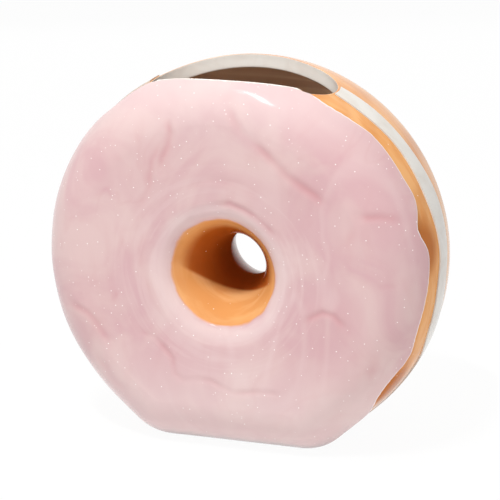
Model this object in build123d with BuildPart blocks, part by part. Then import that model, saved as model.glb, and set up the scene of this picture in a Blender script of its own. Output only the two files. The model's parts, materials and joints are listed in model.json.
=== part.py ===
from build123d import *
from math import atan2, cos, hypot, pi, radians, sin, sqrt
import os

# A donut-shaped flower vase that stands on edge. Its hole runs along Y, its iced face looks towards -Y,
# and the flowers go in through an oval mouth punched down through the top of the ring.
# Lengths are in millimetres and angles in degrees.

# The dough ring
ring_radius = 94.4
dough_depth = 82.5
flank_crown_radius = 110.0
shoulder_radius = 25.0
face_crest_margin = 34.4
face_dome_radius = 300.0
shoulder_slope_angle = 4.5

# The hips, where the flanks leave the circle and run straight down to the base, which cuts the circle short
hip_angle = 48.8
base_cut = 7.4
base_corner_margin = 2.0
base_corner_core = 0.4
base_grinding = 0.9

# The hole through the ring
throat_radius = 11.3
throat_curve_radius = 56.0
hole_lip_radius = 8.0
tube_joint_radius = 38.0

# The wall of the body, and the glaze that lines it
wall_thickness = 5.3
lining_thickness = 0.7

# The cream band round the ring, between the two halves of the dough
band_relief = 0.6

# The poured icing on the front
icing_relief = 1.8
icing_edge_bevel = 1.5
icing_hole_radius = 25.8
icing_hem_height = 0.8

# The mouth, an oval of four arcs, by its margins from the front and the back of the dough. It was punched a
# little to the right of the middle.
mouth_length = 89.0
mouth_side_offset = 1.8
mouth_front_margin = 9.35
mouth_back_margin = 27.15
mouth_side_bulge = 4.35
mouth_punch_depth = 47.4
rim_width = 1.3

# The foot set in the base, a little longer than the flat between the base's two round corners
foot_end_reach = 0.2
foot_width = 30.0
foot_corner_radius = 8.0
foot_recess_margin = 5.0
foot_recess_depth = 1.2

# Every cut runs past the solid by this much
overrun = 10.0

# How far back each wavy edge lies at even steps of angle, as shares of the dough's depth. The first value is
# at the right of the ring, and the steps go up over the top, down the left side and back along the base.
band_front_shares = [
    -0.084, -0.061, -0.090, -0.097, -0.110, -0.145, -0.158, -0.150, -0.140,
    -0.140, -0.140, -0.150, -0.155, -0.135, -0.120, -0.100, -0.090, -0.075,
    -0.085, -0.100, -0.110, -0.100, -0.090, -0.095, -0.085, -0.080, -0.085,
    -0.080, -0.085, -0.080, -0.060, -0.030, 0.020, 0.030, -0.095, -0.107,
]  # fmt: skip
band_back_shares = [
    0.070, 0.105, 0.100, 0.055, 0.026, 0.002, -0.033, -0.035, -0.030,
    -0.030, -0.030, -0.035, -0.030, -0.005, 0.020, 0.050, 0.080, 0.095,
    0.085, 0.070, 0.060, 0.075, 0.090, 0.080, 0.085, 0.090, 0.085,
    0.090, 0.085, 0.090, 0.100, 0.120, 0.140, 0.130, 0.085, 0.060,
]  # fmt: skip
icing_edge_shares = [
    -0.265, -0.245, -0.304, -0.239, -0.254, -0.253, -0.264, -0.302, -0.318, -0.300, -0.280, -0.270,
    -0.270, -0.280, -0.290, -0.315, -0.325, -0.320, -0.285, -0.260, -0.275, -0.305, -0.300, -0.265,
    -0.250, -0.275, -0.315, -0.310, -0.280, -0.270, -0.300, -0.330, -0.335, -0.310, -0.290, -0.280,
    -0.280, -0.285, -0.280, -0.275, -0.270, -0.275, -0.292, -0.352, -0.350, -0.300, -0.312, -0.293,
]  # fmt: skip

# The whole vase is centred on the origin, so the ring's middle plane stands behind it by half the icing
ring_y = icing_relief / 2
half_depth = dough_depth / 2
ring_centre_height = ring_radius - base_cut
face_crest_radius = ring_radius - face_crest_margin
ring_centre = Vector(0, ring_y, ring_centre_height)
hole_axis = Axis(ring_centre, (0, 1, 0))
front_plane = Plane(origin=ring_centre, x_dir=(1, 0, 0), z_dir=(0, -1, 0))
section_plane = Plane(origin=ring_centre, x_dir=(1, 0, 0), z_dir=(0, 0, 1))


def dome_height(radius, inset):
    """Half the depth of the domed face at a radius from the hole's axis."""
    return half_depth - face_dome_radius + sqrt((face_dome_radius - inset) ** 2 - (radius - face_crest_radius) ** 2)


# The shoulder's arc is tangent to the crowned flank, and meets the dome where its slope has grown to
# shoulder_slope_angle. Each pass brings its centre closer to that place.
slope_sin = sin(radians(shoulder_slope_angle))
slope_cos = cos(radians(shoulder_slope_angle))
crown_x = ring_radius - flank_crown_radius
crown_to_shoulder = flank_crown_radius - shoulder_radius
shoulder_y = half_depth - shoulder_radius
for refinement in range(12):
    shoulder_x = crown_x + sqrt(crown_to_shoulder**2 - shoulder_y**2)
    shoulder_end = shoulder_x + shoulder_radius * slope_sin
    shoulder_y = dome_height(shoulder_end, 0) - shoulder_radius * slope_cos

# The round corner of the base reaches in past the shoulder, and the straight flank runs down to it
innermost_shoulder_end = shoulder_x + (shoulder_radius - wall_thickness) * slope_sin
base_corner_radius = ring_radius - innermost_shoulder_end + base_corner_margin
hip_sin = sin(radians(hip_angle))
hip_cos = cos(radians(hip_angle))
base_drop = ring_centre_height + base_grinding
corner_rise = base_drop - base_corner_radius
corner_x = (ring_radius - base_corner_radius - corner_rise * hip_sin) / hip_cos
hip_normal = Vector(hip_cos, 0, -hip_sin)
flank_direction = Vector(-hip_sin, 0, -hip_cos)
corner_centre = ring_centre + Vector(corner_x, 0, -corner_rise)
corner_axis = Axis(corner_centre, (0, 1, 0))
flank_vector = corner_centre + hip_normal * base_corner_radius - ring_centre - hip_normal * ring_radius
flank_length = flank_vector.length

# The mouth and the foot take their size from the dough and the base
mouth_width = dough_depth - mouth_front_margin - mouth_back_margin
mouth_setback = (mouth_back_margin - mouth_front_margin) / 2
mouth_end_radius = mouth_width / 2 - mouth_side_bulge
mouth_floor_height = ring_centre_height + ring_radius - mouth_punch_depth
foot_length = 2 * (corner_x + foot_end_reach)


def edge_profile(plane, outline_radius, inset):
    """The flank and both shoulders in section, on a plane whose X points out of the vase's outline."""
    shift = outline_radius - ring_radius
    flank_x = crown_x + shift
    round_x = shoulder_x + shift
    crown = flank_crown_radius - inset
    shoulder = shoulder_radius - inset
    tangent_x = flank_x + crown * (shoulder_x - crown_x) / crown_to_shoulder
    tangent_y = crown * shoulder_y / crown_to_shoulder
    end_x = round_x + shoulder * slope_sin
    end_y = shoulder_y + shoulder * slope_cos
    middle = (atan2(shoulder_y, shoulder_x - crown_x) + radians(90 - shoulder_slope_angle)) / 2
    middle_x = round_x + shoulder * cos(middle)
    middle_y = shoulder_y + shoulder * sin(middle)
    core_x = outline_radius - base_corner_radius + base_corner_core
    core_y = end_y + (end_x - core_x) * slope_sin / slope_cos
    with BuildSketch(plane) as profile:
        with BuildLine():
            ThreePointArc((tangent_x, -tangent_y), (flank_x + crown, 0), (tangent_x, tangent_y))
            ThreePointArc((tangent_x, tangent_y), (middle_x, middle_y), (end_x, end_y))
            Polyline((end_x, end_y), (core_x, core_y), (core_x, -core_y), (end_x, -end_y))
            ThreePointArc((end_x, -end_y), (middle_x, -middle_y), (tangent_x, -tangent_y))
        make_face()
    return profile.sketch


def outward_plane(origin, outward):
    return Plane(origin=origin, x_dir=outward, z_dir=outward.cross(Vector(0, 1, 0)))


def outline_body(inset):
    """The vase's outline with its rounded edges, deeper in the middle than the domed faces will leave it."""
    downward = Vector(0, 0, -1)
    core_inset = base_corner_radius - base_corner_core
    core_radius = ring_radius - core_inset
    core_base = -base_drop + core_inset
    hip_x = core_radius * hip_cos
    hip_z = -core_radius * hip_sin
    turn = radians(90 + hip_angle) / 2
    with BuildPart() as outline:
        revolve(
            edge_profile(outward_plane(ring_centre, hip_normal), ring_radius, inset),
            axis=hole_axis,
            revolution_arc=-(180 + 2 * hip_angle),
        )
        extrude(
            edge_profile(outward_plane(corner_centre, hip_normal), base_corner_radius, inset),
            amount=-flank_length,
            dir=flank_direction,
        )
        revolve(
            edge_profile(outward_plane(corner_centre, hip_normal), base_corner_radius, inset),
            axis=corner_axis,
            revolution_arc=90 - hip_angle,
        )
        mirror(about=Plane.YZ)
        extrude(
            edge_profile(outward_plane(corner_centre, downward), base_corner_radius, inset),
            amount=2 * corner_x,
            dir=(-1, 0, 0),
        )
        with BuildSketch(front_plane):
            with BuildLine() as half:
                crest = (0, core_radius)
                side = ThreePointArc(crest, (core_radius, 0), (hip_x, hip_z))
                flank_foot = (corner_x + base_corner_core * hip_cos, -corner_rise - base_corner_core * hip_sin)
                flank = Line(side @ 1, flank_foot)
                bend = (corner_x + base_corner_core * cos(turn), -corner_rise - base_corner_core * sin(turn))
                corner = ThreePointArc(flank @ 1, bend, (corner_x, core_base))
                Line(corner @ 1, (0, core_base))
                mirror(about=Plane.YZ)
            make_face()
        extrude(amount=half_depth + overrun, both=True)
    return outline.part


def domed_ring(inset):
    """The ring between its two domed faces, with the hole's throat and lips, wider than the vase."""
    dome = face_dome_radius - inset
    dome_y = half_depth - face_dome_radius
    throat = throat_curve_radius - inset
    throat_x = throat_radius + throat_curve_radius
    rim_radius = ring_radius + ring_radius / 2
    # The throat's arc and the dome's arc cross at the lip's corner, where two circles meet
    span_x = face_crest_radius - throat_x
    span = hypot(span_x, dome_y)
    along = (throat**2 - dome**2 + span**2) / (2 * span)
    across = sqrt(throat**2 - along**2)
    lip_x = throat_x + (along * span_x + across * dome_y) / span
    lip_y = (along * dome_y - across * span_x) / span
    with BuildPart() as ring:
        with BuildSketch(section_plane) as section:
            with BuildLine():
                rim_y = dome_height(rim_radius, inset)
                ThreePointArc((lip_x, -lip_y), (throat_x - throat, 0), (lip_x, lip_y))
                ThreePointArc((lip_x, lip_y), (face_crest_radius, dome_y + dome), (rim_radius, rim_y))
                Line((rim_radius, rim_y), (rim_radius, -rim_y))
                ThreePointArc((rim_radius, -rim_y), (face_crest_radius, -dome_y - dome), (lip_x, -lip_y))
            make_face()
            fillet(section.vertices().sort_by(Axis.X)[0:2], hole_lip_radius - inset)
        revolve(axis=hole_axis)
    return ring.part


def body_skin(inset):
    """A solid bounded by the vase's own surface, moved in by an even distance all over."""
    with BuildPart() as skin:
        add(domed_ring(inset))
        add(outline_body(inset), mode=Mode.INTERSECT)
        if inset <= 0:
            split(bisect_by=Plane.XY, keep=Keep.TOP)
    return skin.part


def behind_wave(shares, slope):
    """Everything behind a wavy edge that runs round the ring. The cut leans forward with the radius by slope."""
    near = tube_joint_radius / 2
    far = ring_radius + ring_radius / 4
    step = 2 * pi / len(shares)
    rings = []
    for radius in (near, far):
        lean = slope * (ring_radius - radius)
        places = [
            ring_centre + Vector(radius * cos(i * step), share * dough_depth + lean, radius * sin(i * step))
            for i, share in enumerate(shares)
        ]
        with BuildLine() as wave:
            Spline(*places, periodic=True)
        rings.append(wave.edges()[0])
    cut = Face.make_surface_from_curves(rings[0], rings[1])
    with BuildPart() as behind:
        extrude(cut, amount=2 * dough_depth, dir=(0, 1, 0))
    return behind.part


def mouth_punch(margin):
    """The oval punch that opens the mouth, larger all round by a margin."""
    end_x = mouth_length / 2 - mouth_end_radius
    end_radius = mouth_end_radius + margin
    half_width = mouth_width / 2
    side_radius = (end_x**2 + half_width**2 - mouth_end_radius**2) / (2 * (half_width - mouth_end_radius))
    side_centre = half_width - side_radius
    side_reach = side_radius + margin
    lean = hypot(end_x, side_centre)
    tangent_x = side_reach * end_x / lean
    tangent_y = side_centre - side_reach * side_centre / lean
    with BuildPart() as punch:
        punch_plane = Plane(origin=(mouth_side_offset, ring_y - mouth_setback, mouth_floor_height))
        with BuildSketch(punch_plane):
            with BuildLine():
                ThreePointArc((-tangent_x, tangent_y), (0, half_width + margin), (tangent_x, tangent_y))
                ThreePointArc((tangent_x, tangent_y), (end_x + end_radius, 0), (tangent_x, -tangent_y))
                ThreePointArc((tangent_x, -tangent_y), (0, -half_width - margin), (-tangent_x, -tangent_y))
                ThreePointArc((-tangent_x, -tangent_y), (-end_x - end_radius, 0), (-tangent_x, tangent_y))
            make_face()
        extrude(amount=ring_centre_height + ring_radius)
    return punch.part


outer_skin = body_skin(0)
band_skin = body_skin(-band_relief)
icing_skin = body_skin(-icing_relief)
lining_skin = body_skin(wall_thickness - lining_thickness)
chamber = body_skin(wall_thickness)
behind_front_edge = behind_wave(band_front_shares, 0)
behind_back_edge = behind_wave(band_back_shares, 0)
behind_icing_edge = behind_wave(icing_edge_shares, icing_edge_bevel / icing_relief)
mouth = mouth_punch(0)
mouth_collar = mouth_punch(rim_width)

with BuildPart() as tube_zone:
    with BuildSketch(front_plane):
        Circle(tube_joint_radius)
    extrude(amount=dough_depth, both=True)

with BuildPart() as foot_zone:
    with BuildSketch(Plane.XY.offset(-overrun)):
        with Locations((0, ring_y)):
            RectangleRounded(foot_length, foot_width, foot_corner_radius)
    extrude(amount=overrun + wall_thickness + overrun)

with BuildPart() as wall:
    add(outer_skin)
    add(lining_skin, mode=Mode.SUBTRACT)
    add(mouth_collar, mode=Mode.SUBTRACT)

with BuildPart() as hole_tube:
    add(wall.part)
    add(tube_zone.part, mode=Mode.INTERSECT)

with BuildPart() as foot:
    add(wall.part)
    add(foot_zone.part, mode=Mode.INTERSECT)
    with BuildSketch(Plane.XY):
        with Locations((0, ring_y)):
            RectangleRounded(
                foot_length - 2 * foot_recess_margin,
                foot_width - 2 * foot_recess_margin,
                foot_corner_radius - foot_recess_margin / 2,
            )
    extrude(amount=foot_recess_depth, mode=Mode.SUBTRACT)

with BuildPart() as dough_wall:
    add(wall.part)
    add(tube_zone.part, mode=Mode.SUBTRACT)
    add(foot_zone.part, mode=Mode.SUBTRACT)

with BuildPart() as front_shell:
    add(dough_wall.part)
    add(behind_front_edge, mode=Mode.SUBTRACT)

with BuildPart() as rear_shell:
    add(dough_wall.part)
    add(behind_back_edge, mode=Mode.INTERSECT)

with BuildPart() as cream_band:
    add(band_skin)
    add(lining_skin, mode=Mode.SUBTRACT)
    add(tube_zone.part, mode=Mode.SUBTRACT)
    add(foot_zone.part, mode=Mode.SUBTRACT)
    add(mouth_collar, mode=Mode.SUBTRACT)
    add(behind_front_edge, mode=Mode.INTERSECT)
    add(behind_back_edge, mode=Mode.SUBTRACT)

with BuildPart() as icing_coat:
    add(icing_skin)
    split(bisect_by=front_plane, keep=Keep.TOP)
    split(bisect_by=Plane.XY.offset(icing_hem_height), keep=Keep.TOP)
    add(outer_skin, mode=Mode.SUBTRACT)
    add(behind_icing_edge, mode=Mode.SUBTRACT)
    with BuildSketch(front_plane):
        Circle(icing_hole_radius)
    extrude(amount=dough_depth, mode=Mode.SUBTRACT)

with BuildPart() as icing:
    add(icing_coat.part)
    add(mouth_collar, mode=Mode.SUBTRACT)

with BuildPart() as mouth_rim:
    add(outer_skin)
    add(icing_coat.part)
    add(lining_skin, mode=Mode.SUBTRACT)
    add(mouth_collar, mode=Mode.INTERSECT)
    add(mouth, mode=Mode.SUBTRACT)

with BuildPart() as glaze_lining:
    add(lining_skin)
    add(chamber, mode=Mode.SUBTRACT)
    add(mouth, mode=Mode.SUBTRACT)

pieces = {
    "front_shell": front_shell,
    "rear_shell": rear_shell,
    "cream_band": cream_band,
    "hole_tube": hole_tube,
    "foot": foot,
    "icing": icing,
    "mouth_rim": mouth_rim,
    "glaze_lining": glaze_lining,
}
os.makedirs("parts", exist_ok=True)
for name, piece in pieces.items():
    piece.part.label = name
    export_step(piece.part, f"parts/{name}.step")
    print(name, len(piece.solids()), round(piece.part.volume), piece.part.is_valid)
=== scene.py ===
import json
import math

import bpy
import numpy as np
from mathutils import Matrix, Vector, noise

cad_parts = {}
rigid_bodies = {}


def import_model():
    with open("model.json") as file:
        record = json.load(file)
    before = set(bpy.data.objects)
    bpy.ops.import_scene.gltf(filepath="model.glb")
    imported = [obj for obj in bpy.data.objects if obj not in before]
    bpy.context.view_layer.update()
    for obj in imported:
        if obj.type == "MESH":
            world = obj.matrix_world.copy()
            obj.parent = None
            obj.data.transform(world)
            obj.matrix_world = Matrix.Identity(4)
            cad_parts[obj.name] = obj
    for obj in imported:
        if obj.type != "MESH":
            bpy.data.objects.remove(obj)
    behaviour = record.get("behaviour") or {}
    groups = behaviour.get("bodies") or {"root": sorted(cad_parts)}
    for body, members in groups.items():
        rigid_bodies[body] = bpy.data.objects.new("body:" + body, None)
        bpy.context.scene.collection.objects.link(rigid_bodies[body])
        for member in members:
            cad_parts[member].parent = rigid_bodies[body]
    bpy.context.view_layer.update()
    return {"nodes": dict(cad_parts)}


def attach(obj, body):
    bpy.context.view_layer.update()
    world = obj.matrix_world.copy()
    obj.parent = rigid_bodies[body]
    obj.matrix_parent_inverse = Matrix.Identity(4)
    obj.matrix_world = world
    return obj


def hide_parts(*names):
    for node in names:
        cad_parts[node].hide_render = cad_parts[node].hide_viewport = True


for oldObject in list(bpy.data.objects):
    bpy.data.objects.remove(oldObject)

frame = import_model()
vaseNodes = frame["nodes"]
print("vase loaded:", ", ".join(sorted(vaseNodes)))

millimetre = 0.001

# The dough ring under the icing. Lengths are in metres, angles in degrees.
dough = {
    "centreHeight": 0.0870,
    "middlePlane": 0.0009,      # the ring's middle plane lies this far behind the origin
    "ringRadius": 0.0944,
    "halfDepth": 0.04125,
    "crownRadius": 0.110,
    "shoulderRadius": 0.025,
    "crestRadius": 0.060,       # where the domed face stands proudest
    "domeRadius": 0.300,
    "shoulderSlope": 4.5,
    "hipAngle": 48.8,
    "cornerRadius": 0.027,
    "baseDrop": 0.0879,
    "throatRadius": 0.0113,
    "throatCurve": 0.056,
    "lipRadius": 0.008,
}

ringCentre = Vector((0, dough["middlePlane"], dough["centreHeight"]))
crownCentre = dough["ringRadius"] - dough["crownRadius"]


# Camera, at the photograph's angle

cameraLook = {
    "azimuth": 20.56,
    "elevation": 15.37,
    "roll": -1.238,
    "distance": 0.86266,
    "lens": 129.95,
    "sensorWidth": 36,
    "nearest": 0.01,
    "farthest": 50,
    "aimRight": -0.00027,       # the ring's centre stands a little off the middle of the picture
    "aimUp": 0.00123,
}


def directionTo(azimuth, elevation):      # from the vase towards a camera or a lamp
    turn, rise = math.radians(azimuth), math.radians(elevation)
    return Vector((math.sin(turn) * math.cos(rise), -math.cos(turn) * math.cos(rise), math.sin(rise)))


def placeCamera(look):
    back = directionTo(look["azimuth"], look["elevation"])
    right = Vector((0, 0, 1)).cross(back).normalized()
    up = back.cross(right)
    place = ringCentre + back * look["distance"]
    aim = ringCentre + right * look["aimRight"] + up * look["aimUp"]
    data = bpy.data.cameras.new("photoCamera")
    data.lens = look["lens"]
    data.sensor_width = look["sensorWidth"]
    data.clip_start = look["nearest"]
    data.clip_end = look["farthest"]
    cameraObject = bpy.data.objects.new("photoCamera", data)
    bpy.context.scene.collection.objects.link(cameraObject)
    facing = (aim - place).to_track_quat("-Z", "Y").to_matrix().to_4x4()
    roll = Matrix.Rotation(math.radians(look["roll"]), 4, "Z")
    cameraObject.matrix_world = Matrix.Translation(place) @ facing @ roll
    bpy.context.scene.camera = cameraObject


placeCamera(cameraLook)
print("camera placed")


# Small helpers for node materials

def startMaterial(name):
    material = bpy.data.materials.new(name)
    material.use_nodes = True
    material.node_tree.nodes.clear()
    return material


def addNode(material, kind, **settings):
    node = material.node_tree.nodes.new("ShaderNode" + kind)
    for key, value in settings.items():
        setattr(node, key, value)
    return node


def setInputs(node, **values):
    for key, value in values.items():
        node.inputs[key.replace("_", " ")].default_value = value


def join(material, fromSocket, toSocket):
    material.node_tree.links.new(fromSocket, toSocket)


def glazeShader(material, roughness, gloss=0.5):
    shader = addNode(material, "BsdfPrincipled")
    output = addNode(material, "OutputMaterial")
    setInputs(shader, Roughness=roughness, Specular_IOR_Level=gloss, IOR=1.5)
    join(material, shader.outputs["BSDF"], output.inputs["Surface"])
    return shader


def objectCoordinates(material, scale=(1, 1, 1), turn=(0, 0, 0)):
    place = addNode(material, "TexCoord")
    mapping = addNode(material, "Mapping")
    setInputs(mapping, Rotation=turn, Scale=scale)
    join(material, place.outputs["Object"], mapping.inputs["Vector"])
    return mapping.outputs["Vector"]


def noiseField(material, coordinates, scale, detail=2.0, roughness=0.5, distortion=0.0):
    field = addNode(material, "TexNoise")
    setInputs(field, Scale=scale, Detail=detail, Roughness=roughness, Distortion=distortion)
    join(material, coordinates, field.inputs["Vector"])
    return field.outputs["Fac"]


def remap(material, value, low, high, toLow=0.0, toHigh=1.0):
    ramp = addNode(material, "MapRange", interpolation_type="SMOOTHSTEP")
    setInputs(ramp, From_Min=low, From_Max=high, To_Min=toLow, To_Max=toHigh)
    join(material, value, ramp.inputs["Value"])
    return ramp.outputs["Result"]


def mixColours(material, factor, first, second):
    mix = addNode(material, "Mix", data_type="RGBA")
    join(material, factor, mix.inputs["Factor"])
    # sockets 6 and 7 of a colour mix are its colours A and B
    for socket, colour in ((mix.inputs[6], first), (mix.inputs[7], second)):
        if isinstance(colour, tuple):
            socket.default_value = (*colour, 1)
        else:
            join(material, colour, socket)
    return mix.outputs[2]


def mathNode(material, operation, *values):
    node = addNode(material, "Math", operation=operation)
    for socket, value in zip(node.inputs, values):
        if isinstance(value, (int, float)):
            socket.default_value = value
        else:
            join(material, value, socket)
    return node.outputs["Value"]


def multiply(material, first, second):
    return mathNode(material, "MULTIPLY", first, second)


def larger(material, first, second):
    return mathNode(material, "MAXIMUM", first, second)


def whiteSpecks(material, coordinates, look):
    fullShare = 0.4     # this share of a speck's size, and of the specks, is full white
    size, share = look["size"], look["share"]
    cells = addNode(material, "TexVoronoi", feature="F1")
    setInputs(cells, Scale=look["scale"], Randomness=1.0)
    join(material, coordinates, cells.inputs["Vector"])
    near = remap(material, cells.outputs["Distance"], size, size * fullShare)
    separate = addNode(material, "SeparateColor")
    join(material, cells.outputs["Color"], separate.inputs["Color"])
    chosen = remap(material, separate.outputs["Red"], 1 - share, 1 - share * fullShare)
    return multiply(material, near, chosen)


def addBump(material, shader, height, look):
    bump = addNode(material, "Bump")
    setInputs(bump, Strength=look["strength"], Distance=look["depth"])
    join(material, height, bump.inputs["Height"])
    join(material, bump.outputs["Normal"], shader.inputs["Normal"])


def addUnevenness(material, shader, place, look):
    addBump(material, shader, noiseField(material, place, look["scale"]), look)


def placeParts(material, *axes):
    place = addNode(material, "TexCoord")
    parts = addNode(material, "SeparateXYZ")
    join(material, place.outputs["Object"], parts.inputs["Vector"])
    return [parts.outputs[axis] for axis in axes]


def attributeValue(material, name):
    return addNode(material, "Attribute", attribute_name=name).outputs["Fac"]


def flatFromAxis(material):      # the way from the hole's axis, without the depth
    place = addNode(material, "TexCoord")
    fromCentre = addNode(material, "VectorMath", operation="SUBTRACT")
    fromCentre.inputs[1].default_value = tuple(ringCentre)
    flat = addNode(material, "VectorMath", operation="MULTIPLY")
    flat.inputs[1].default_value = (1, 0, 1)
    join(material, place.outputs["Object"], fromCentre.inputs[0])
    join(material, fromCentre.outputs["Vector"], flat.inputs[0])
    return flat.outputs["Vector"]


def distanceFromAxis(material):
    length = addNode(material, "VectorMath", operation="LENGTH")
    join(material, flatFromAxis(material), length.inputs[0])
    return length.outputs["Value"]


def aroundTheHole(material, ringsPerMetre):
    heading = addNode(material, "VectorMath", operation="NORMALIZE")
    join(material, flatFromAxis(material), heading.inputs[0])
    parts = addNode(material, "SeparateXYZ")
    join(material, heading.outputs["Vector"], parts.inputs["Vector"])
    vector = addNode(material, "CombineXYZ")
    join(material, multiply(material, distanceFromAxis(material), ringsPerMetre), vector.inputs["X"])
    join(material, parts.outputs["X"], vector.inputs["Y"])
    join(material, parts.outputs["Z"], vector.inputs["Z"])
    return vector.outputs["Vector"]


# The icing's glaze: pink and cream clouds, thin veins, pale rings round the hole and white specks, with
# painted shade and painted light added below.
# A share says how far a colour covers the one below it. Heights and radii run from none to all of it.

icingGlaze = {
    "pink": (0.597, 0.375, 0.388),
    "cream": (0.655, 0.470, 0.456),
    "mauve": (0.545, 0.255, 0.270),
    "pale": (0.74, 0.60, 0.585),
    # the colour of the painted highlight along the icing's edge
    "lip": (0.92, 0.87, 0.85),
    "speck": (0.95, 0.92, 0.91),
    "roughness": 0.16,
    "gloss": 0.4,
    "bump": {"scale": 75, "depth": 0.0006, "strength": 0.25},
    "cloudScale": 25,
    "cloudRange": (0.36, 0.68),
    "wispStretch": (1.0, 1.0, 0.55),
    "wispTurn": (0, 0.5, 0),
    "wispScale": 36,
    "wispRange": (0.50, 0.72),
    "wispShare": 0.12,
    "ringsPerMetre": 260.0,
    "ringRange": (0.46, 0.64),
    "ringRadii": (0.062, 0.036),
    "ringShare": 0.22,
    "paleVeins": {"scale": 13, "width": 0.055, "share": 0.17},
    "mauveVeins": {"scale": 21, "width": 0.045, "share": 0.13},
    "foldShare": 0.46,
    "edgeShadeBand": [(0.08, 0.30), (0.95, 0.35)],      # painted shade in a band along the edge, in shares of the lip's reach
    "edgeHighlightRange": (0.21, 0.10),
    "edgeShadeHeights": (0.135, 0.100),
    "edgeShadeShare": 0.12,
    "topLightHeights": (0.140, 0.172),
    "topLightShare": 0.50,
    "floorLightHeights": (0.062, 0.015),
    "floorLightShare": 0.55,
    "rippleScale": 110,
    "borderRipple": 0.0028,     # how unevenly the icing ends at the hole
    "borderBand": [(0.0268, 0.0290), (0.0375, 0.0310)],
    "borderShare": 0.45,
    "thinRadii": (0.0276, 0.0264),
    "thinShare": 0.9,           # the dough shows through where the icing thins out
    "specks": {"scale": 370, "size": 0.125, "share": 0.75},     # the share of cells that hold a speck
}

doughGlaze = {
    "tan": (0.74, 0.34, 0.115),
    "pale": (0.82, 0.46, 0.20),
    "deep": (0.50, 0.155, 0.03),
    # the colour of the painted shade under the icing's edge
    "recessShade": (0.47, 0.145, 0.028),
    # the colour of the painted shade and painted shadow in the hole
    "throat": (0.40, 0.078, 0.005),
    "speck": (0.95, 0.85, 0.75),
    "roughness": 0.12,
    "gloss": 0.2,
    "bump": {"scale": 60, "depth": 0.0006, "strength": 0.3},
    "streakStretch": (0.6, 2.4, 0.6),
    "lineScale": 70,
    "lineRange": (0.42, 0.65),
    "lineShare": 0.6,
    "patchScale": 20,
    "patchRange": (0.42, 0.66),
    "patchShare": 0.45,
    "recessShadeCore": 0.4,                    # the painted shade is full within this share of its reach
    "recessShadeShare": 0.95,
    "shadedRecesses": [((0.092, -0.020, 0.101), 0.017), ((0.077, -0.021, 0.034), 0.016)],    # places of painted shade in the recesses under the icing's wavy edge, and their reach
    # painted shade deep in the throat
    "throatShadeRadii": (0.0140, 0.0120),
    "throatShadeShare": 0.92,
    "shadeRadii": (0.0235, 0.0185),     # painted shadow in the hole, above a slanting border where the rim's shadow ends
    "shadeHeights": (0.0609, 0.0634),
    "shadeRise": (0.12, 0.71),          # how much lower that border lies to the right and to the back
    "glossRadii": (0.0142, 0.0175),     # the gloss fades out in the throat
    "glossDepths": (0.004, 0.014),      # and comes back in the rear half
    "dullSide": (0.048, 0.072),         # it is weak on the right of the front half too
    "dullDepths": (-0.004, 0.006),
    "dullGloss": 0.15,
    "specks": {"scale": 290, "size": 0.10, "share": 0.35},
}

creamGlaze = {
    "white": (0.71, 0.68, 0.635),
    "shade": (0.65, 0.605, 0.55),
    "roughness": 0.16,
    "gloss": 0.12,
    "mottleScale": 60,
    "mottleRange": (0.4, 0.7),
    "bump": {"scale": 90, "depth": 0.0005, "strength": 0.2},
}

rimGlaze = {
    "white": (0.88, 0.84, 0.78),
    "shade": (0.80, 0.73, 0.66),
    "roughness": 0.16,
    "gloss": 0.3,
    "mottleScale": 60,
    "mottleRange": (0.4, 0.7),
    "bump": {"scale": 90, "depth": 0.0004, "strength": 0.2},
}

insideGlaze = {
    "brown": (0.84, 0.64, 0.48),
    "dark": (0.66, 0.45, 0.32),
    "roughness": 0.22,
    "insideStreakStretch": (0.16, 0.6, 2.6),
    "insideStreakScale": 40,
    "insideStreakRange": (0.40, 0.66),
    "bump": {"depth": 0.0004, "strength": 0.3},
}

bareClay = {
    "pale": (0.78, 0.72, 0.64),
    "dark": (0.66, 0.58, 0.48),
    "roughness": 0.75,
    "grainScale": 900,
    "grainRange": (0.35, 0.7),
    "bump": {"depth": 0.0002, "strength": 0.6},
}


def thinVeins(material, place, look):
    coarser, patchRange = 0.7, (0.45, 0.62)     # the veins come and go in larger patches
    field = noiseField(material, place, look["scale"], distortion=1.4)
    away = mathNode(material, "ABSOLUTE", mathNode(material, "SUBTRACT", field, 0.5))
    line = remap(material, away, look["width"], 0.0)
    where = remap(material, noiseField(material, place, look["scale"] * coarser, detail=1), *patchRange)
    return multiply(material, multiply(material, line, where), look["share"])


def icingMarbling(material, place, look):
    swirl = objectCoordinates(material, scale=look["wispStretch"], turn=look["wispTurn"])
    cloudNoise = noiseField(material, place, look["cloudScale"], detail=3, distortion=1.1)
    clouds = remap(material, cloudNoise, *look["cloudRange"])
    wispNoise = noiseField(material, swirl, look["wispScale"], detail=3, roughness=0.55, distortion=2.2)
    wisps = remap(material, wispNoise, *look["wispRange"])
    ringPlace = aroundTheHole(material, look["ringsPerMetre"])
    ringNoise = noiseField(material, ringPlace, 1.0, detail=3, roughness=0.55, distortion=0.5)
    rings = remap(material, ringNoise, *look["ringRange"])
    nearHole = multiply(material, rings, remap(material, distanceFromAxis(material), *look["ringRadii"]))
    base = mixColours(material, clouds, look["pink"], look["cream"])
    ringed = mixColours(material, multiply(material, nearHole, look["ringShare"]), base, look["pale"])
    wisped = mixColours(material, multiply(material, wisps, look["wispShare"]), ringed, look["mauve"])
    veined = mixColours(material, thinVeins(material, swirl, look["paleVeins"]), wisped, look["pale"])
    return mixColours(material, thinVeins(material, place, look["mauveVeins"]), veined, look["mauve"])


def icingBorder(material, place, look, colour):      # pale round the hole, then thin over the dough
    ripple = noiseField(material, place, look["rippleScale"])
    radius = mathNode(material, "MULTIPLY_ADD", ripple, look["borderRipple"], distanceFromAxis(material))
    starts, ends = (remap(material, radius, *span) for span in look["borderBand"])
    ring = multiply(material, starts, ends)
    bordered = mixColours(material, multiply(material, ring, look["borderShare"]), colour, look["pale"])
    thin = multiply(material, remap(material, radius, *look["thinRadii"]), look["thinShare"])
    return mixColours(material, thin, bordered, doughGlaze["tan"])


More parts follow.
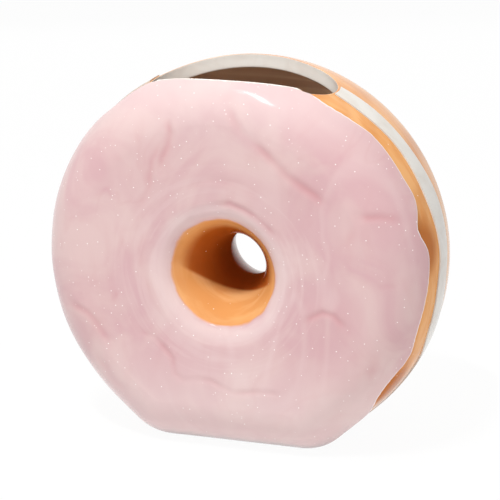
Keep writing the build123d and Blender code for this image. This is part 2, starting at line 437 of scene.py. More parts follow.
def makeIcingGlaze(look):
    material = startMaterial("pinkIcingGlaze")
    shader = glazeShader(material, look["roughness"], look["gloss"])
    place = objectCoordinates(material)
    marbled = icingMarbling(material, place, look)
    # painted shade along the fold grooves and on their banks
    folds = multiply(material, attributeValue(material, "foldShade"), look["foldShare"])
    foldShaded = mixColours(material, folds, marbled, look["mauve"])
    fromEdge = attributeValue(material, "fromEdge")
    height = placeParts(material, "Z")[0]
    # painted shade: mauve in a band just inside the lower edge, where the edge turns away from the light
    starts, ends = (remap(material, fromEdge, *span) for span in look["edgeShadeBand"])
    inside = multiply(material, starts, ends)
    low = multiply(material, inside, remap(material, height, *look["edgeShadeHeights"]))
    edgeShaded = mixColours(material, multiply(material, low, look["edgeShadeShare"]), foldShaded, look["mauve"])
    # painted light: the icing pales towards the top, where the light falls strongest
    crown = multiply(material, remap(material, height, *look["topLightHeights"]), look["topLightShare"])
    topLit = mixColours(material, crown, edgeShaded, look["pale"])
    # painted light: the icing pales towards the bottom, as bounce light from the floor would make it
    floorLight = multiply(material, remap(material, height, *look["floorLightHeights"]), look["floorLightShare"])
    floorLit = mixColours(material, floorLight, topLit, look["pale"])
    # painted highlight: a thin near-white line along the icing's edge
    edgeHighlighted = mixColours(material, remap(material, fromEdge, *look["edgeHighlightRange"]), floorLit, look["lip"])
    bordered = icingBorder(material, place, look, edgeHighlighted)
    specks = whiteSpecks(material, place, look["specks"])
    join(material, mixColours(material, specks, bordered, look["speck"]), shader.inputs["Base Color"])
    addUnevenness(material, shader, place, look["bump"])
    return material


# painted shade deep in the throat, and the painted shadow that the hole's upper rim casts
def throatShade(material, look):
    toRight, toBack = look["shadeRise"]
    across, depth, height = placeParts(material, "X", "Y", "Z")
    raised = mathNode(material, "MULTIPLY_ADD", across, toRight, height)
    slant = mathNode(material, "MULTIPLY_ADD", depth, toBack, raised)
    radius = distanceFromAxis(material)
    above = remap(material, slant, *look["shadeHeights"])
    shaded = multiply(material, remap(material, radius, *look["shadeRadii"]), above)
    both = larger(material, remap(material, radius, *look["throatShadeRadii"]), shaded)
    return multiply(material, both, look["throatShadeShare"])


def doughColour(material, look):
    place = objectCoordinates(material)
    streaks = objectCoordinates(material, scale=look["streakStretch"])
    lineNoise = noiseField(material, streaks, look["lineScale"], detail=3, distortion=0.4)
    lines = remap(material, lineNoise, *look["lineRange"])
    patchNoise = noiseField(material, place, look["patchScale"], distortion=0.8)
    patches = remap(material, patchNoise, *look["patchRange"])
    base = mixColours(material, multiply(material, lines, look["lineShare"]), look["tan"], look["pale"])
    toned = mixColours(material, multiply(material, patches, look["patchShare"]), base, look["deep"])
    # painted shade in the recesses under the icing's wavy edge
    for centre, reach in look["shadedRecesses"]:
        away = addNode(material, "VectorMath", operation="DISTANCE")
        join(material, place, away.inputs[0])
        away.inputs[1].default_value = centre
        recessShade = remap(material, away.outputs["Value"], reach, reach * look["recessShadeCore"])
        toned = mixColours(material, multiply(material, recessShade, look["recessShadeShare"]), toned, look["recessShade"])
    shaded = mixColours(material, throatShade(material, look), toned, look["throat"])
    return mixColours(material, whiteSpecks(material, place, look["specks"]), shaded, look["speck"])


def doughGloss(material, look):
    across, depth = placeParts(material, "X", "Y")
    outside = remap(material, distanceFromAxis(material), *look["glossRadii"], 0.0, look["gloss"])
    atTheBack = remap(material, depth, *look["glossDepths"], 0.0, look["gloss"])
    besideFront = remap(material, across, *look["dullSide"], 1.0, look["dullGloss"])
    kept = larger(material, besideFront, remap(material, depth, *look["dullDepths"]))
    return multiply(material, larger(material, outside, atTheBack), kept)


def makeDoughGlaze(look):
    material = startMaterial("doughGlaze")
    shader = glazeShader(material, look["roughness"])
    streaks = objectCoordinates(material, scale=look["streakStretch"])
    join(material, doughColour(material, look), shader.inputs["Base Color"])
    join(material, doughGloss(material, look), shader.inputs["Specular IOR Level"])
    addUnevenness(material, shader, streaks, look["bump"])
    return material


def creamColour(material, look):
    place = objectCoordinates(material)
    mottle = noiseField(material, place, look["mottleScale"], detail=3, roughness=0.55, distortion=0.5)
    return mixColours(material, remap(material, mottle, *look["mottleRange"]), look["white"], look["shade"])


def makeCreamGlaze(look):
    material = startMaterial("creamGlaze")
    shader = glazeShader(material, look["roughness"], look["gloss"])
    join(material, creamColour(material, look), shader.inputs["Base Color"])
    addUnevenness(material, shader, objectCoordinates(material), look["bump"])
    return material


def makeRimGlaze(creamLook, doughLook):
    material = startMaterial("rimGlaze")
    shader = glazeShader(material, creamLook["roughness"], creamLook["gloss"])
    cream, orange = creamColour(material, creamLook), doughColour(material, doughLook)
    share = attributeValue(material, "creamShare")
    join(material, mixColours(material, share, orange, cream), shader.inputs["Base Color"])
    addUnevenness(material, shader, objectCoordinates(material), creamLook["bump"])
    return material


def makeInsideGlaze(look):
    material = startMaterial("insideGlaze")
    shader = glazeShader(material, look["roughness"])
    # streaks along the inner wall: the lighter ones are painted reflection, and they also drive the bump
    place = objectCoordinates(material, scale=look["insideStreakStretch"])
    streakNoise = noiseField(material, place, look["insideStreakScale"], detail=3, distortion=0.6)
    streakField = remap(material, streakNoise, *look["insideStreakRange"])
    join(material, mixColours(material, streakField, look["brown"], look["dark"]), shader.inputs["Base Color"])
    addBump(material, shader, streakField, look["bump"])
    return material


def makeBareClay(look):
    material = startMaterial("bareClay")
    shader = glazeShader(material, look["roughness"])
    grain = noiseField(material, objectCoordinates(material), look["grainScale"], detail=4, roughness=0.7)
    toned = remap(material, grain, *look["grainRange"])
    join(material, mixColours(material, toned, look["pale"], look["dark"]), shader.inputs["Base Color"])
    addBump(material, shader, grain, look["bump"])
    return material


def dress(piece, material):
    piece.data.materials.clear()
    piece.data.materials.append(material)


pinkGlaze = makeIcingGlaze(icingGlaze)
tanGlaze = makeDoughGlaze(doughGlaze)
whiteGlaze = makeCreamGlaze(creamGlaze)
brownGlaze = makeInsideGlaze(insideGlaze)
clay = makeBareClay(bareClay)

dress(vaseNodes["front_shell"], tanGlaze)
dress(vaseNodes["rear_shell"], tanGlaze)
dress(vaseNodes["hole_tube"], tanGlaze)
dress(vaseNodes["cream_band"], whiteGlaze)
dress(vaseNodes["mouth_rim"], whiteGlaze)
dress(vaseNodes["glaze_lining"], brownGlaze)
dress(vaseNodes["foot"], clay)
dress(vaseNodes["icing"], pinkGlaze)
print("glazes made")


# The icing, a poured skin with folds, closed round its edges

icing = {
    "relief": 0.0018,
    "undersideGap": 0.00005,
    "holeRadius": 0.0249,
    "holeDrop": 0.0003,
    "edgeRoll": 0.0020,         # how wide the rounded edge is
    "rollShares": [0, 0.06, 0.16, 0.30, 0.48, 0.72, 1.0, 1.4],     # rows lie at these shares of it
    "holeRoll": 0.0110,
    "holeThinning": 0.97,       # share of the relief that is gone at the hole
    "cornerRound": 0.0040,      # where the edge meets the mouth
    "hemHeight": 0.0008,
    # how far back the wavy edge lies, in shares of the dough's depth, from the right over the top
    "edgeShares": [
        -0.265, -0.245, -0.304, -0.239, -0.254, -0.253, -0.264, -0.302, -0.318, -0.300, -0.280, -0.270,
        -0.270, -0.280, -0.285, -0.275, -0.290, -0.310, -0.285, -0.260, -0.275, -0.305, -0.300, -0.265,
        -0.250, -0.275, -0.315, -0.310, -0.280, -0.270, -0.300, -0.330, -0.335, -0.310, -0.290, -0.280,
        -0.280, -0.285, -0.280, -0.275, -0.270, -0.275, -0.292, -0.352, -0.350, -0.300, -0.312, -0.293,
    ],
    "undulation": 0.0003,
    "undulationScale": 42,
    "calmBorder": 0.0080,       # folds and undulation fade out this near a border
    "lipReach": 0.0100,
    "columns": 440,
    "rows": 100,
    "underRows": 24,
    "faceSteps": 200,           # the steps of the curve that a column of the mesh is read from
    "shoulderSteps": 90,
    "crownSteps": 60,
    "lastDepth": 0.0080,
    "mouthFloor": 0.0400,       # the mouth cuts only what lies higher than this above the hole's centre
    "smoothAngle": 50,
}

# Folds in the icing: points along each fold, in millimetres right of and above the hole's centre, then its
# depth and half width
icingFolds = [
    ([(-23, 73), (-22, 66), (-23, 60), (-26, 54), (-27, 48)], 0.55, 1.5),
    ([(-26, 61), (-31, 53), (-32, 47), (-34, 37), (-39, 29)], 0.30, 1.6),
    ([(5, 80), (9, 73), (13, 68), (20, 62), (28, 55), (34, 49), (42, 44), (47, 41), (52, 36)], 0.50, 2.0),
    ([(-10, 29), (-1, 33), (6, 34), (12, 32), (18, 29), (23, 25), (28, 20)], 0.50, 1.6),
    ([(66, 33), (71, 32), (75, 32), (80, 31), (84, 28)], 0.45, 1.6),
    ([(-42, -30), (-34, -32), (-28, -37), (-24, -42), (-23, -49), (-19, -52), (-12, -51), (-5, -51),
      (1, -54), (6, -56), (18, -54), (30, -54)], 0.40, 1.4),
    ([(-78, -19), (-67, -23), (-62, -28), (-59, -33), (-55, -37)], 0.35, 1.8),
    ([(-50, -9), (-54, -18)], 0.25, 1.4),
    ([(-47, 17), (-48, 9)], 0.25, 1.2),
    ([(41, -20), (43, -17), (46, -15), (50, -13), (55, -14), (59, -18), (61, -20)], 0.38, 1.5),
    ([(77, -27), (74, -35), (70, -47)], 0.40, 2.2),
    ([(74, 0), (80, 1), (84, 0)], 0.20, 1.2),
    ([(66, 32), (63, 24), (60, 16)], 0.32, 2.6),
    ([(-67, -44), (-60, -50), (-56, -57), (-46, -63)], 0.25, 2.6),
    ([(50, -68), (55, -66), (60, -63)], 0.30, 3.0),
    ([(-36, 20), (-39, 10), (-38, -2), (-34, -14)], 0.16, 1.8),
    ([(-16, 40), (-4, 45), (10, 44), (22, 38)], 0.16, 1.8),
]

foldShape = {
    "tipReach": 3,              # in half widths: how far a fold fades in from its tips
    "bankReach": 3,             # and how far its raised banks reach
    "bankRise": 0.45,
    "grooveShade": 0.8,
    "bankShade": 0.2,
    "fullShadeDepth": 0.42,     # millimetres
    "unevenScale": 85,
    "unevenDepth": 0.9,
    "unevenShade": 1.3,
    "middleShade": 0.95,
    "shadeRange": (0.1, 1.2),
}

mouth = {
    "length": 0.0890,
    "width": 0.0460,
    "endRadius": 0.01865,
    "setback": 0.0089,
    "sideOffset": 0.0018,
    "rimWidth": 0.0013,
    "columns": 360,
}


def lengthAlong(points):
    return np.concatenate([[0], np.cumsum(np.linalg.norm(np.diff(points, axis=0), axis=1))])


def spreadEvenly(places, normals, count):
    along = lengthAlong(places)
    wanted = np.linspace(0, along[-1], count, endpoint=False)
    place = np.stack([np.interp(wanted, along, places[:, k]) for k in (0, 1)], axis=1)
    normal = np.stack([np.interp(wanted, along, normals[:, k]) for k in (0, 1)], axis=1)
    return place, normal / np.linalg.norm(normal, axis=1)[:, None]


def softStep(share):
    return share ** 2 * (3 - 2 * share)


def outlineCurve(count):
    hip = math.radians(dough["hipAngle"])
    ring, corner = dough["ringRadius"], dough["cornerRadius"]
    cornerZ = corner - dough["baseDrop"]
    cornerX = (ring - corner + cornerZ * math.sin(hip)) / math.cos(hip)
    ringSteps, cornerSteps = 900, 90
    places, normals = [], []
    for centre, radius, first, last, steps in (
        ((0, 0), ring, -hip, math.pi + hip, ringSteps),
        ((-cornerX, cornerZ), corner, math.pi + hip, 1.5 * math.pi, cornerSteps),
        ((cornerX, cornerZ), corner, 1.5 * math.pi, 2 * math.pi - hip, cornerSteps),
    ):
        angles = np.linspace(first, last, steps)
        outward = np.stack([np.cos(angles), np.sin(angles)], axis=1)
        places.append(np.array(centre) + radius * outward)
        normals.append(outward)
    places = np.vstack(places + [places[0][:1]])
    normals = np.vstack(normals + [normals[0][:1]])
    return spreadEvenly(places, normals, count)


def shoulderCentre():
    slope = math.radians(dough["shoulderSlope"])
    span = dough["crownRadius"] - dough["shoulderRadius"]
    y = dough["halfDepth"] - dough["shoulderRadius"]
    rounds = 12     # x and y depend on each other, and settle in a few rounds
    for attempt in range(rounds):
        x = crownCentre + math.sqrt(span ** 2 - y ** 2)
        end = x + dough["shoulderRadius"] * math.sin(slope)
        top = math.sqrt(dough["domeRadius"] ** 2 - (end - dough["crestRadius"]) ** 2)
        y = dough["halfDepth"] - dough["domeRadius"] + top - dough["shoulderRadius"] * math.cos(slope)
    return x, y


def lipCentre():
    throatX = dough["throatRadius"] + dough["throatCurve"]
    domeY = dough["halfDepth"] - dough["domeRadius"]
    throat = dough["throatCurve"] - dough["lipRadius"]
    dome = dough["domeRadius"] - dough["lipRadius"]
    spanX = dough["crestRadius"] - throatX
    span = math.hypot(spanX, domeY)
    along = (throat ** 2 - dome ** 2 + span ** 2) / (2 * span)
    across = math.sqrt(throat ** 2 - along ** 2)
    return throatX + (along * spanX + across * domeY) / span, (along * domeY - across * spanX) / span


def faceDepth(radius, outlineDistance, lift):
    lipX, lipY = lipCentre()
    shoulderX, shoulderY = shoulderCentre()
    slope = math.radians(dough["shoulderSlope"])
    dome = dough["halfDepth"] - dough["domeRadius"] + np.sqrt(
        (dough["domeRadius"] + lift) ** 2 - (radius - dough["crestRadius"]) ** 2)
    inLip = np.clip(lipX - radius, 0, dough["lipRadius"] + lift)
    lip = lipY + np.sqrt((dough["lipRadius"] + lift) ** 2 - inLip ** 2)
    face = np.where(radius < lipX, lip, dome)
    endX = shoulderX + (dough["shoulderRadius"] + lift) * math.sin(slope)
    endY = shoulderY + (dough["shoulderRadius"] + lift) * math.cos(slope)
    slopeLine = endY + (endX - outlineDistance) * math.tan(slope)
    blend = 0.0002
    gap = np.clip(0.5 + 0.5 * (slopeLine - face) / blend, 0, 1)
    return slopeLine * (1 - gap) + face * gap - blend * gap * (1 - gap)


def mouthArcs():
    endX = mouth["length"] / 2 - mouth["endRadius"]
    half = mouth["width"] / 2
    sideRadius = (endX ** 2 + half ** 2 - mouth["endRadius"] ** 2) / (2 * (half - mouth["endRadius"]))
    return endX, sideRadius, half - sideRadius


def insideMouth(x, y):      # within the rim's outer edge
    endX, sideRadius, sideCentre = mouthArcs()
    depth = np.abs(y - (dough["middlePlane"] - mouth["setback"]))
    joint = sideRadius * endX / math.hypot(endX, sideCentre)
    beside = np.abs(x - mouth["sideOffset"])
    inSide = np.hypot(beside, depth - sideCentre) < sideRadius + mouth["rimWidth"]
    inEnd = np.hypot(beside - endX, depth) < mouth["endRadius"] + mouth["rimWidth"]
    return np.where(beside < joint, inSide, inEnd)


def mouthOutline(count):
    endX, sideRadius, sideCentre = mouthArcs()
    sideSteps, endSteps = 400, 200
    joint = math.atan2(endX, -sideCentre)      # where a long side meets an end, turned from straight back
    places, normals = [], []
    for centreX, centreY, radius, first, last, steps in (
        (0, sideCentre, sideRadius, joint, -joint, sideSteps),
        (-endX, 0, mouth["endRadius"], -joint, joint - math.pi, endSteps),
        (0, -sideCentre, sideRadius, joint - math.pi, -joint - math.pi, sideSteps),
        (endX, 0, mouth["endRadius"], -joint - math.pi, joint - 2 * math.pi, endSteps),
    ):
        angles = np.linspace(first, last, steps)
        outward = np.stack([np.sin(angles), np.cos(angles)], axis=1)
        places.append(np.array([centreX, centreY]) + radius * outward)
        normals.append(outward)
    place, normal = spreadEvenly(np.vstack(places), np.vstack(normals), count)
    return place + np.array([mouth["sideOffset"], dough["middlePlane"] - mouth["setback"]]), normal


def topHeight(x, y):      # of the dough, above the floor
    shoulderX, shoulderY = shoulderCentre()
    depth = np.abs(y - dough["middlePlane"])
    crown, shoulder = dough["crownRadius"], dough["shoulderRadius"]
    onCrown = crownCentre + np.sqrt(crown ** 2 - depth ** 2)
    onShoulder = shoulderX + np.sqrt(np.clip(shoulder ** 2 - (depth - shoulderY) ** 2, 0, None))
    joint = crown * shoulderY / (crown - shoulder)
    radius = np.where(depth < joint, onCrown, onShoulder)
    return dough["centreHeight"] + np.sqrt(radius ** 2 - x ** 2)


def edgeDepth(angle):      # a smooth curve through the edge's shares, round the ring
    count = len(icing["edgeShares"])
    values = np.array(icing["edgeShares"]) * 2 * dough["halfDepth"]
    place = (angle / (2 * math.pi) * count) % count
    index = np.floor(place).astype(int)
    t = place - index
    a, b, c, d = (values[(index + k) % count] for k in (-1, 0, 1, 2))
    return b + 0.5 * t * (c - a + t * (2 * a - 5 * b + 4 * c - d + t * (3 * (b - c) + d - a)))


def rowSteps(length, count):      # rows lie close together where the edges are rounded
    close = np.array(icing["rollShares"]) * icing["edgeRoll"]
    middle = np.linspace(close[-1], length - close[-1], count - 2 * len(close) + 2)
    return np.concatenate([close[:-1], middle, (length - close[:-1])[::-1]])


def sideProfile(lift):
    shoulderX, shoulderY = shoulderCentre()
    slope = math.radians(dough["shoulderSlope"])
    tangent = math.atan2(shoulderY, shoulderX - crownCentre)
    last = math.asin(icing["lastDepth"] / dough["crownRadius"])
    onShoulder = np.linspace(math.pi / 2 - slope, tangent, icing["shoulderSteps"])
    onCrown = np.linspace(tangent, last, icing["crownSteps"])[1:]
    shoulder, crown = dough["shoulderRadius"] + lift, dough["crownRadius"] + lift
    shoulderReach = shoulderX + shoulder * np.cos(onShoulder)
    shoulderDepth = shoulderY + shoulder * np.sin(onShoulder)
    crownReach = crownCentre + crown * np.cos(onCrown)
    crownDepth = crown * np.sin(onCrown)
    return np.concatenate([shoulderReach, crownReach]), np.concatenate([shoulderDepth, crownDepth])


# One column of the icing, from the hole out over the shoulder
def icingPath(place, normal, turn, reach, depth, lift):
    holeCentre = np.array([0, -icing["holeDrop"]])
    start = holeCentre + icing["holeRadius"] * np.array([math.cos(turn), math.sin(turn)])
    end = place + normal * (reach[0] - dough["ringRadius"])
    flat = start + (end - start) * np.linspace(0, 1, icing["faceSteps"])[:, None]
    outlineDistance = dough["ringRadius"] - (place - flat) @ normal
    faces = faceDepth(np.hypot(flat[:, 0], flat[:, 1]), outlineDistance, lift)
    faces[-1] = depth[0]
    over = place + normal * (reach[1:, None] - dough["ringRadius"])
    return np.column_stack([np.vstack([flat, over]), -np.concatenate([faces, depth[1:]])])


# How far a column runs: to the wavy edge or to the mouth, with a round corner between them
def icingLength(path, along, place):
    edge = edgeDepth(np.arctan2(place[1:], place[:1]))[0]
    inMouth = insideMouth(path[:, 0], path[:, 2] + dough["middlePlane"])
    inMouth &= path[:, 1] > icing["mouthFloor"]
    toEdge = along[int(np.argmax(path[:, 2] > edge))]
    toMouth = along[int(np.argmax(inMouth))] if inMouth.any() else toEdge + 1
    blend = float(np.clip(0.5 + 0.5 * (toMouth - toEdge) / icing["cornerRound"], 0, 1))
    length = toMouth + (toEdge - toMouth) * blend - icing["cornerRound"] * blend * (1 - blend)
    return length, 1 - blend


def icingSheet(lift, count):
    places, normals = outlineCurve(icing["columns"])
    reach, depth = sideProfile(lift)
    sheet = np.zeros((icing["columns"], count, 3))
    cutByMouth = np.zeros(icing["columns"])
    for i, (place, normal) in enumerate(zip(places, normals)):
        turn = 2 * math.pi * i / icing["columns"] - math.radians(dough["hipAngle"])
        path = icingPath(place, normal, turn, reach, depth, lift)
        along = lengthAlong(path)
        length, cutByMouth[i] = icingLength(path, along, place)
        wanted = rowSteps(length, count)
        for k in range(3):
            sheet[i, :, k] = np.interp(wanted, along, path[:, k])
    points = np.stack([sheet[..., 0], sheet[..., 2], sheet[..., 1]], axis=-1)
    return points + np.array(ringCentre), cutByMouth


def sheetNormals(points):
    around = np.roll(points, -1, axis=0) - np.roll(points, 1, axis=0)
    outward = np.gradient(points, axis=1)
    normal = np.cross(around, outward)
    normal /= np.linalg.norm(normal, axis=2)[..., None]
    middle = normal[:, points.shape[1] // 2, 1].mean()
    return normal if middle < 0 else -normal


def distanceToLine(flat, line):
    nearest = np.full(flat.shape[:2], np.inf)
    for a, b in zip(line, line[1:]):
        a, b = np.array(a, float), np.array(b, float)
        t = np.clip(((flat - a) @ (b - a)) / ((b - a) @ (b - a)), 0, 1)
        nearest = np.minimum(nearest, np.linalg.norm(flat - (a + t[..., None] * (b - a)), axis=-1))
    return nearest


def noiseOver(points, scale):
    return np.array([[noise.noise(Vector(point) * scale) for point in column] for column in points])


def foldField(points, shape):
    flat = np.stack([points[..., 0] - ringCentre.x, points[..., 2] - ringCentre.z], axis=-1) / millimetre
    sink = np.zeros(flat.shape[:2])
    shade = np.zeros(flat.shape[:2])
    for line, depth, width in icingFolds:
        nearest = distanceToLine(flat, line)
        tips = np.minimum(np.linalg.norm(flat - np.array(line[0]), axis=-1),
                          np.linalg.norm(flat - np.array(line[-1]), axis=-1))
        fade = np.clip(tips / (shape["tipReach"] * width), 0, 1)
        groove = np.exp(-(nearest / width) ** 2)
        bank = np.exp(-(nearest / (shape["bankReach"] * width)) ** 2)
        sink += depth * millimetre * fade * (groove - shape["bankRise"] * bank)
        # painted shade, darkest in the groove
        dark = shape["grooveShade"] * groove + shape["bankShade"] * bank
        shade = np.maximum(shade, dark * fade * depth / shape["fullShadeDepth"])
    uneven = noiseOver(points, shape["unevenScale"])
    sink *= 1 + shape["unevenDepth"] * uneven
    shade *= np.clip(shape["middleShade"] + shape["unevenShade"] * uneven, *shape["shadeRange"])
    return sink, shade


def closedSheet(name, grid, fields):      # a torus whose points are then set on the grid's
    columns, rows = grid.shape[:2]
    majorRadius, minorRadius = 0.06, 0.03
    bpy.ops.object.select_all(action="DESELECT")
    bpy.ops.mesh.primitive_torus_add(major_segments=columns // 2, minor_segments=rows // 2,
                                     major_radius=majorRadius, minor_radius=minorRadius)
    piece = bpy.context.object
    piece.name = name
    bpy.ops.object.mode_set(mode="EDIT")
    bpy.ops.mesh.select_all(action="SELECT")
    bpy.ops.mesh.subdivide(number_cuts=1)
    bpy.ops.object.mode_set(mode="OBJECT")
    start = np.array([vertex.co for vertex in piece.data.vertices])
    around = np.arctan2(start[:, 1], start[:, 0])
    across = np.arctan2(start[:, 2], np.hypot(start[:, 0], start[:, 1]) - majorRadius)
    column = np.round(around / (2 * math.pi) * columns).astype(int) % columns
    row = np.round(across / (2 * math.pi) * rows).astype(int) % rows
    piece.data.vertices.foreach_set("co", grid[column, row].astype(np.float32).ravel())
    for field, values in fields.items():
        attribute = piece.data.attributes.new(field, "FLOAT", "POINT")
        attribute.data.foreach_set("value", values[column, row].astype(np.float32))
    bpy.ops.object.mode_set(mode="EDIT")
    bpy.ops.mesh.select_all(action="SELECT")
    bpy.ops.mesh.normals_make_consistent(inside=False)
    bpy.ops.object.mode_set(mode="OBJECT")
    return piece


def makeIcing():
    outer, cutOuter = icingSheet(icing["relief"], icing["rows"])
    inner = icingSheet(icing["undersideGap"], icing["underRows"])[0]
    steps = np.linalg.norm(np.diff(outer, axis=1), axis=2)
    fromHole = np.concatenate([np.zeros((len(outer), 1)), np.cumsum(steps, axis=1)], axis=1)
    toEdge = fromHole[:, -1:] - fromHole
    holeRoll = icing["holeThinning"] * softStep(np.clip(1 - fromHole / icing["holeRoll"], 0, 1))
    edgeRoll = 1 - np.sqrt(1 - np.clip(1 - toEdge / icing["edgeRoll"], 0, 1) ** 2)
    edgeRoll = edgeRoll * np.sqrt(1 - cutOuter[:, None])
    lower = icing["relief"] * np.maximum(holeRoll, edgeRoll)
    sink, shade = foldField(outer, foldShape)
    wobble = noiseOver(outer, icing["undulationScale"])
    calm = np.clip(np.minimum(fromHole, toEdge) / icing["calmBorder"], 0, 1)
    lower += calm * (np.clip(sink, 0, None) + icing["undulation"] * (1 + wobble))
    lower -= calm * np.clip(-sink, 0, icing["undulation"])
    outer = outer - sheetNormals(outer) * lower[..., None]
    grid = np.concatenate([outer, inner[:, ::-1]], axis=1)
    grid[..., 2] = np.maximum(grid[..., 2], icing["hemHeight"])
    underside = np.zeros(inner.shape[:2])
    fromEdge = np.clip(toEdge / icing["lipReach"] + cutOuter[:, None], 0, 1)
    piece = closedSheet("poured_icing", grid, {
        "foldShade": np.concatenate([shade * calm, underside], axis=1),
        "fromEdge": np.concatenate([fromEdge, underside + 1], axis=1),
    })
    bpy.ops.object.shade_smooth_by_angle(angle=math.radians(icing["smoothAngle"]))
    return piece


pouredIcing = makeIcing()
dress(pouredIcing, pinkGlaze)
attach(pouredIcing, "root")
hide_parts("icing")
print("icing poured")


# The mouth's rim: a rounded edge, a cream wall and a bead of glaze that hangs over the inside glaze

mouthRim = {
    "depth": 0.0064,            # how far the cream glaze runs down from the dough's skin
    "beadReach": 0.00018,
    "icingBlend": 0.0022,       # where the rim climbs from the dough onto the icing
    # outward and upward from the top inner corner, in millimetres, then the share of cream
    "section": [
        (1.28, 0.0, 0.0), (0.80, 0.0, 0.0), (0.42, -0.02, 0.0), (0.20, -0.07, 0.05), (0.06, -0.16, 0.3),
        (0.0, -0.30, 0.9), (0.0, -0.45, 1.0), (0.0, -0.95, 1.0),
    ],
    "wallRings": 10,
    "wallEnd": 0.0006,          # above the bead's foot
    "foot": [(-0.16, 0.30), (-0.05, 0.08), (0.15, -0.04), (0.36, 0.06), (0.50, 0.35), (0.58, 0.85)],
    "back": [(1.0, 0.70), (1.28, 0.55), (1.28, 0.15), (1.28, 0.05)],     # outward, and share of the depth
    "smoothAngle": 60,
}


def makeMouthRim():
    place, outward = mouthOutline(mouth["columns"])
    x, y = place[:, 0], place[:, 1]
    probe = 0.0004
    slopeX = (topHeight(x + probe, y) - topHeight(x - probe, y)) / (2 * probe)
    slopeY = (topHeight(x, y + probe) - topHeight(x, y - probe)) / (2 * probe)
    angle = np.arctan2(topHeight(x, y) - dough["centreHeight"], x)
    edge = dough["middlePlane"] + edgeDepth(angle)
    inIcing = softStep(np.clip((edge - y) / mouthRim["icingBlend"], 0, 1))
    lift = icing["relief"] * np.sqrt(inIcing)
    foot = -mouthRim["depth"] * np.sqrt(1 + slopeX ** 2 + slopeY ** 2)
    rings = [(out * millimetre, lift + up * millimetre, np.maximum(cream, inIcing))
             for out, up, cream in mouthRim["section"]]
    allCream, noCream = np.ones(len(x)), np.zeros(len(x))
    wallStart = rings[-1][1]
    for k in range(1, mouthRim["wallRings"] + 1):
        share = k / mouthRim["wallRings"]
        bead = mouthRim["beadReach"] * math.sin(math.pi / 2 * share) ** 3
        rings.append((-bead, wallStart + (foot + mouthRim["wallEnd"] - wallStart) * share, allCream))
    for out, up in mouthRim["foot"]:
        rings.append((out * millimetre, foot + up * millimetre, allCream))
    for out, share in mouthRim["back"]:
        rings.append((out * millimetre, foot * share, noCream))
    columns = []
    for out, up, cream in rings:
        ringX, ringY = x + outward[:, 0] * out, y + outward[:, 1] * out
        columns.append(np.stack([ringX, ringY, topHeight(ringX, ringY) + up], axis=1))
    creams = np.stack([cream for out, up, cream in rings], axis=1)
    piece = closedSheet("glazed_mouth_rim", np.stack(columns, axis=1), {"creamShare": creams})
    bpy.ops.object.shade_smooth_by_angle(angle=math.radians(mouthRim["smoothAngle"]))
    return piece


glazedMouthRim = makeMouthRim()
dress(glazedMouthRim, makeRimGlaze(rimGlaze, doughGlaze))
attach(glazedMouthRim, "root")
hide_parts("mouth_rim")
print("mouth rim made")


# Floor, white surround and lights

studio = {
    "floorSize": 8.0,
    "floorColour": (0.90, 0.90, 0.90),
    "floorGlow": 0.955,         # share of white that a camera sees, so that the floor keeps a shadow
    "ambient": 0.46,
}

sideways, upward = Vector((1, 0, 0)), Vector((0, 0, 1))
stripStart, stripEnd = Vector((-0.19, -0.37, 0.91)), Vector((0.04, -0.54, 0.84))     # as seen from the vase
towardsStrip, alongStrip = stripStart + stripEnd, stripEnd - stripStart

# The key gives light and shade, and the thin strip just in front of it gives the one highlight
lamps = {
    "overhead": {"power": 3.85, "size": (1.3, 1.0), "distance": 1.30, "mirrored": False,
                 "towards": directionTo(-10.0, 84.0), "along": sideways},
    "fill": {"power": 1.55, "size": (0.5, 0.5), "distance": 1.30, "mirrored": False,
             "towards": directionTo(62.0, 8.0), "along": upward},
    "back": {"power": 3.0, "size": (1.2, 0.9), "distance": 1.30, "mirrored": False,
             "towards": directionTo(200.0, 22.0), "along": sideways},
    "key": {"power": 11.3, "size": (0.24, 0.04), "distance": 1.30, "mirrored": False,
            "towards": towardsStrip, "along": alongStrip},
    "strip": {"power": 1.5, "size": (0.30, 0.020), "distance": 1.29, "mirrored": True,
              "towards": towardsStrip, "along": alongStrip},
}


def whereWhite(material):      # seen by the camera, through glass or in a reflection
    rays = addNode(material, "LightPath")
    seen = larger(material, rays.outputs["Is Camera Ray"], rays.outputs["Is Transmission Ray"])
    return larger(material, seen, rays.outputs["Is Glossy Ray"])


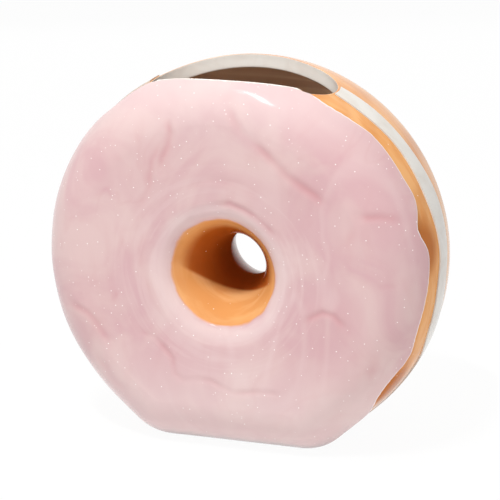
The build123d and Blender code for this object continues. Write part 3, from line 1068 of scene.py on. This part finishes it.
def makeFloor(look):
    bpy.ops.object.select_all(action="DESELECT")
    bpy.ops.mesh.primitive_plane_add(size=look["floorSize"])
    floor = bpy.context.object
    floor.name = "floor"
    material = startMaterial("paleFloor")
    diffuse = addNode(material, "BsdfDiffuse")
    diffuse.inputs["Color"].default_value = (*look["floorColour"], 1)
    white = addNode(material, "Emission")
    setInputs(white, Strength=1.0)
    mix = addNode(material, "MixShader")
    join(material, multiply(material, whereWhite(material), look["floorGlow"]), mix.inputs["Fac"])
    join(material, diffuse.outputs["BSDF"], mix.inputs[1])
    join(material, white.outputs["Emission"], mix.inputs[2])
    output = addNode(material, "OutputMaterial")
    join(material, mix.outputs["Shader"], output.inputs["Surface"])
    floor.data.materials.append(material)


def makeSurround(look):
    world = bpy.data.worlds.new("whiteSurround")
    bpy.context.scene.world = world
    world.use_nodes = True
    world.node_tree.nodes.clear()
    soft, white = addNode(world, "Background"), addNode(world, "Background")
    setInputs(soft, Color=(1, 1, 1, 1), Strength=look["ambient"])
    setInputs(white, Color=(1, 1, 1, 1), Strength=1.0)
    mix = addNode(world, "MixShader")
    output = addNode(world, "OutputWorld")
    join(world, whereWhite(world), mix.inputs["Fac"])
    join(world, soft.outputs["Background"], mix.inputs[1])
    join(world, white.outputs["Background"], mix.inputs[2])
    join(world, mix.outputs["Shader"], output.inputs["Surface"])


def addSoftbox(name, look):
    data = bpy.data.lights.new(name, "AREA")
    data.shape = "RECTANGLE"
    data.size, data.size_y = look["size"]
    data.energy = look["power"]
    lamp = bpy.data.objects.new(name, data)
    bpy.context.scene.collection.objects.link(lamp)
    away, along = look["towards"].normalized(), look["along"]
    side = (along - away * along.dot(away)).normalized()
    facing = Matrix((side, away.cross(side), away)).transposed().to_4x4()
    lamp.matrix_world = Matrix.Translation(ringCentre + away * look["distance"]) @ facing
    lamp.visible_glossy = look["mirrored"]
    lamp.visible_camera = False


makeFloor(studio)
makeSurround(studio)
for lampName, lampLook in lamps.items():
    addSoftbox(lampName, lampLook)
bpy.context.scene.view_settings.view_transform = "Standard"
print("studio lit")
